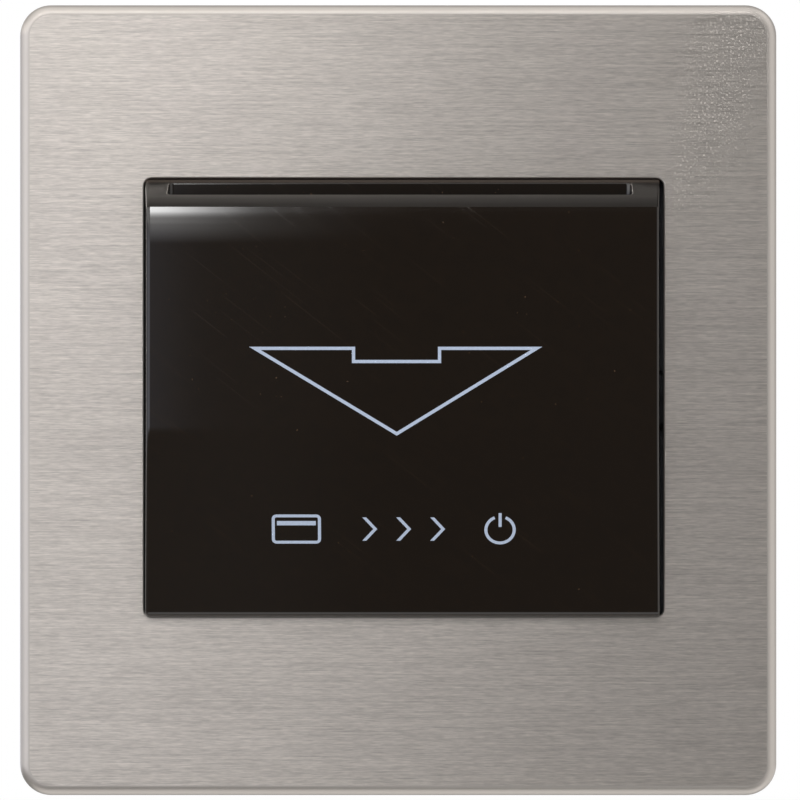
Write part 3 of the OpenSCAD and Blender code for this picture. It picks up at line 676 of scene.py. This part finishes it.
# Screws
# The wall screws are blackened, and a fibre washer behind the yoke holds each one in its slot before
# the switch is fitted. The switch's, the guide's, the terminals' and the rear cover's are nickel-plated.
yoke_low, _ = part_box("mounting_yoke")
screw_low, screw_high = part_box("wall_screws")
housing_low, housing_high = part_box("mechanism_housing")
head_r = (screw_high.z - screw_low.z) / 2
thread_pitch = 0.7 * mm
thread_from = 1.5 * mm
thread_depth = 0.12 * mm
yoke_t = 1.2 * mm
washer_r = 4.7 * mm
washer_hole_r = 2.1 * mm
washer_t = 0.3 * mm
washer_play = 0.02 * mm
washer_gap = 0.4 * mm
black_screw = plated("black_screw", (0.045, 0.045, 0.048, 1.0), 0.38, spangle=0.5 * mm)
at_x, at_y, at_z = black_screw.axes(black_screw.place)
from_axis = black_screw.math("ABSOLUTE", at_x) - (screw_high.x - head_r)
turns = at_y * (2 * math.pi / thread_pitch) + black_screw.math("ARCTAN2", at_z, from_axis)
thread_start = black_screw.step(at_y, thread_from, thread_from + thread_pitch)
black_screw.relief(black_screw.math("SINE", turns) * thread_start, thread_depth)
dress(black_screw, "wall_screws")
fibre = moulded("black_fibre", tone(20, 20, 21), 0.7)
for name, x, side_x, facing in (("washer_left", screw_low.x + head_r, housing_low.x, 1),
                                ("washer_right", screw_high.x - head_r, housing_high.x, -1)):
    washer = disc((x, yoke_low.y + yoke_t, 0), washer_r, 64)
    washer.name = name
    bpy.ops.object.mode_set(mode="EDIT")
    bpy.ops.mesh.select_all(action="SELECT")
    hollow_out(washer_r - washer_hole_r)
    bpy.ops.mesh.select_all(action="SELECT")
    bpy.ops.mesh.bisect(plane_co=(side_x - facing * washer_gap, 0, 0), plane_no=(facing, 0, 0),
                        clear_outer=True, threshold=tiny / 10)
    bpy.ops.object.mode_set(mode="OBJECT")
    apply_modifier(washer, "SOLIDIFY", thickness=washer_t, offset=0)
    washer.data.transform(Matrix.Translation((0, washer_t / 2 + washer_play, 0)))
    washer.data.materials.append(fibre.material)
    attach(washer, "switch_body")
dress(plated("bright_screw", (0.66, 0.64, 0.60, 1.0), 0.22, spangle=0.5 * mm),
      "guide_screws", "rear_cover_screws", "switch_screws", "terminal_screws")

# Card guide
# The guide behind the slot is moulded in plastic, made near-black as painted shade for the dark inside
# of the slot.
dress(moulded("guide_plastic", tone(9, 9, 10), 0.5, Specular_IOR_Level=0.3), "card_guide")

# Housing
# The housing and its rear cover are moulded in off-white flame-retardant plastic.
dress(moulded("housing_plastic", tone(214, 211, 201), 0.46, grain_size=0.3 * mm),
      "mechanism_housing", "rear_cover")

# Lever
# The lever that the card pushes is moulded in natural acetal and turns on a ground steel pin, with a
# spring wound from hard-drawn wire.
dress(moulded("acetal", tone(226, 224, 216), 0.34, Subsurface_Weight=0.1,
              Subsurface_Scale=0.6 * mm), "card_lever")
dress(plated("ground_pin", (0.60, 0.60, 0.60, 1.0), 0.16, spangle=0.4 * mm), "lever_pin")
dress(plated("spring_wire", (0.42, 0.42, 0.43, 1.0), 0.24, spangle=0.3 * mm), "lever_spring")

# Snap switch
# The snap switch has a dark moulded case, a red button and brass tabs.
dress(moulded("switch_moulding", tone(30, 30, 33), 0.38, grain_size=0.18 * mm), "switch_case")
dress(moulded("button_red", tone(176, 34, 28), 0.30, grain_size=0.15 * mm), "switch_button")
dress(plated("tab_brass", (0.72, 0.53, 0.26, 1.0), 0.30, spangle=0.6 * mm), "switch_tabs")

# Straps
# Copper straps lead from the switch's tabs to the terminals.
dress(plated("strap_copper", (0.72, 0.38, 0.26, 1.0), 0.34, spangle=0.8 * mm),
      "strap_common", "strap_open", "strap_closed")

# Terminals
# Each terminal is a turned brass block with a wire hole and a clamping screw.
dress(plated("terminal_brass", (0.70, 0.51, 0.24, 1.0), 0.36, spangle=0.5 * mm),
      "terminal_common", "terminal_open", "terminal_closed")

# Camera
# The camera looks straight at the plate from two thirds of a metre away.
scene = bpy.context.scene
scene.view_settings.view_transform = "Standard"
view_distance = 650 * mm
seen_width = 95.05 * mm
sensor = 36.0
camera_x = 0.21 * mm
camera_z = 0.02 * mm
camera_data = bpy.data.cameras.new("camera")
camera_data.sensor_width = sensor
camera_data.lens = sensor * view_distance / seen_width
camera_data.clip_start = 0.01
camera = bpy.data.objects.new("camera", camera_data)
camera.location = (camera_x, plate_low.y - view_distance, camera_z)
camera.rotation_euler = (math.pi / 2, 0, 0)
scene.collection.objects.link(camera)
scene.camera = camera

# Studio
# White paper behind and a dim room in front, with a broad soft light at the left, a small bright one
# above it, a low one underneath, and two lamps above the camera, over a pale floor.
# Each step is a soft border, set by the X, Y or Z of the direction that is looked in.
dim = 0.14
fill = 0.9
white = (1, 1, 1, 1)
cool = (0.92, 0.96, 1.1, 1)
world = bpy.data.worlds.new("studio")
scene.world = world
world.use_nodes = True
world.node_tree.nodes.clear()
air = Nodes(world.node_tree)
ray = air.tree.nodes.new("ShaderNodeLightPath")
is_camera = Value(air, ray.outputs["Is Camera Ray"])
is_glossy = Value(air, ray.outputs["Is Glossy Ray"])
is_through = Value(air, ray.outputs["Is Transmission Ray"])
way = air.node("ShaderNodeTexCoord", output="Generated")
across, deep, up = air.axes(way)
left = across * -1
under = up * -1
ceiling = air.step(up, 0.38, 0.6, 0, 0.4) + air.step(up, 0.6, 0.9, 0, 0.5)
right_side = air.step(across, 0.24, 0.7, 0, 0.95)
left_side = (air.step(left, 0.3, 0.6, 0, 0.02) + air.step(left, 0.0, 0.03, 0, 0.06)
             + air.step(left, 0.005, 0.04) * air.step(up, 0.05, 0.16, 0, 0.5)
             + air.step(left, 0.2, 0.4) * air.step(up, 0.1, 0.2, 0, 1.9)
             * (1 - air.step(up, 0.35, 0.45)))
low = air.step(up, -0.28, -0.08) * (1 - air.step(up, 0.04, 0.2))
low_left = air.step(left, 0.036, 0.05) * low
broad_light = (low_left * (0.36 + air.step(left, 0.08, 0.3, 0, 1.2))
               * (1 - air.step(left, 0.85, 1.0, 0, 0.5)))
below = (air.step(under, 0.73, 0.85, 0, 1.0)
         + air.step(under, 0.1, 0.3) * air.step(deep, 0.0, 0.8, 0, 0.05))
shadow = air.step(up, -0.2, 0.1) * air.step(deep, -0.1, 0.5, 0, 0.6)
room = (dim + ceiling + right_side + left_side + broad_light + below) * (1 - shadow)
bright_light = (air.step(left, 0.026, 0.040) * (1 - air.step(left, 0.047, 0.073, 0, 0.93))
                * (1 + air.step(left, 0.037, 0.046, 0, 1.45)) * (1 - air.step(left, 0.25, 0.5))
                * (air.step(up, 0.03, 0.26, 0, 1.5) + air.step(up, 0.28, 0.46, 0, 9.5))
                * (1 - air.step(up, 0.5, 0.57)) * air.step(deep, 0.0, -0.1))
behind = air.step(deep, 0.86, 0.97)
paper = 0.5 + air.step(up, 0.0, 0.25, 0, 0.6)
sky = air.mix(white, cool, low_left * (1 - is_camera))
mirrored = air.math("MAXIMUM", is_glossy, is_through)
seen = (mirrored * (behind * paper + (1 - behind) * room + bright_light)
        + (1 - mirrored) * fill)
glow = is_camera + (1 - is_camera) * seen
background = air.node("ShaderNodeBackground", {}, {"Color": sky, "Strength": glow})
air.tree.links.new(background.socket, air.tree.nodes.new("ShaderNodeOutputWorld").inputs["Surface"])


def panel(name, place, aim, width, height, radiance):
    """A soft light panel that faces a point and that the camera doesn't see."""
    light = bpy.data.lights.new(name, "AREA")
    light.shape = "RECTANGLE"
    light.size = width
    light.size_y = height
    light.energy = radiance * math.pi * width * height
    lamp = bpy.data.objects.new(name, light)
    lamp.location = place
    lamp.visible_camera = False
    lamp.rotation_euler = (Vector(aim) - Vector(place)).to_track_quat("-Z", "Y").to_euler()
    scene.collection.objects.link(lamp)


centre = Vector((0, plate_low.y, 0))
panel("key_lamp", (-0.6, -1.3, 1.1), centre, 0.6, 0.4, 1.2)
panel("near_lamp", (-0.04, -0.45, 0.385), centre, 0.28, 0.14, 2.5)

bpy.ops.object.select_all(action="DESELECT")
bpy.ops.mesh.primitive_circle_add(vertices=96, radius=0.9, fill_type="NGON", location=(0, -0.5, -0.12))
floor = bpy.context.object
floor.name = "floor"
bpy.ops.object.transform_apply(location=True, rotation=True, scale=True)
pale = Finish("pale_floor", Roughness=0.8)
pale.vary(Base_Color=pale.shade((0.80, 0.79, 0.77, 1.0), pale.noise((0.05,) * 3) * 0.04 + 0.98))
floor.data.materials.append(pale.material)
floor.visible_glossy = False
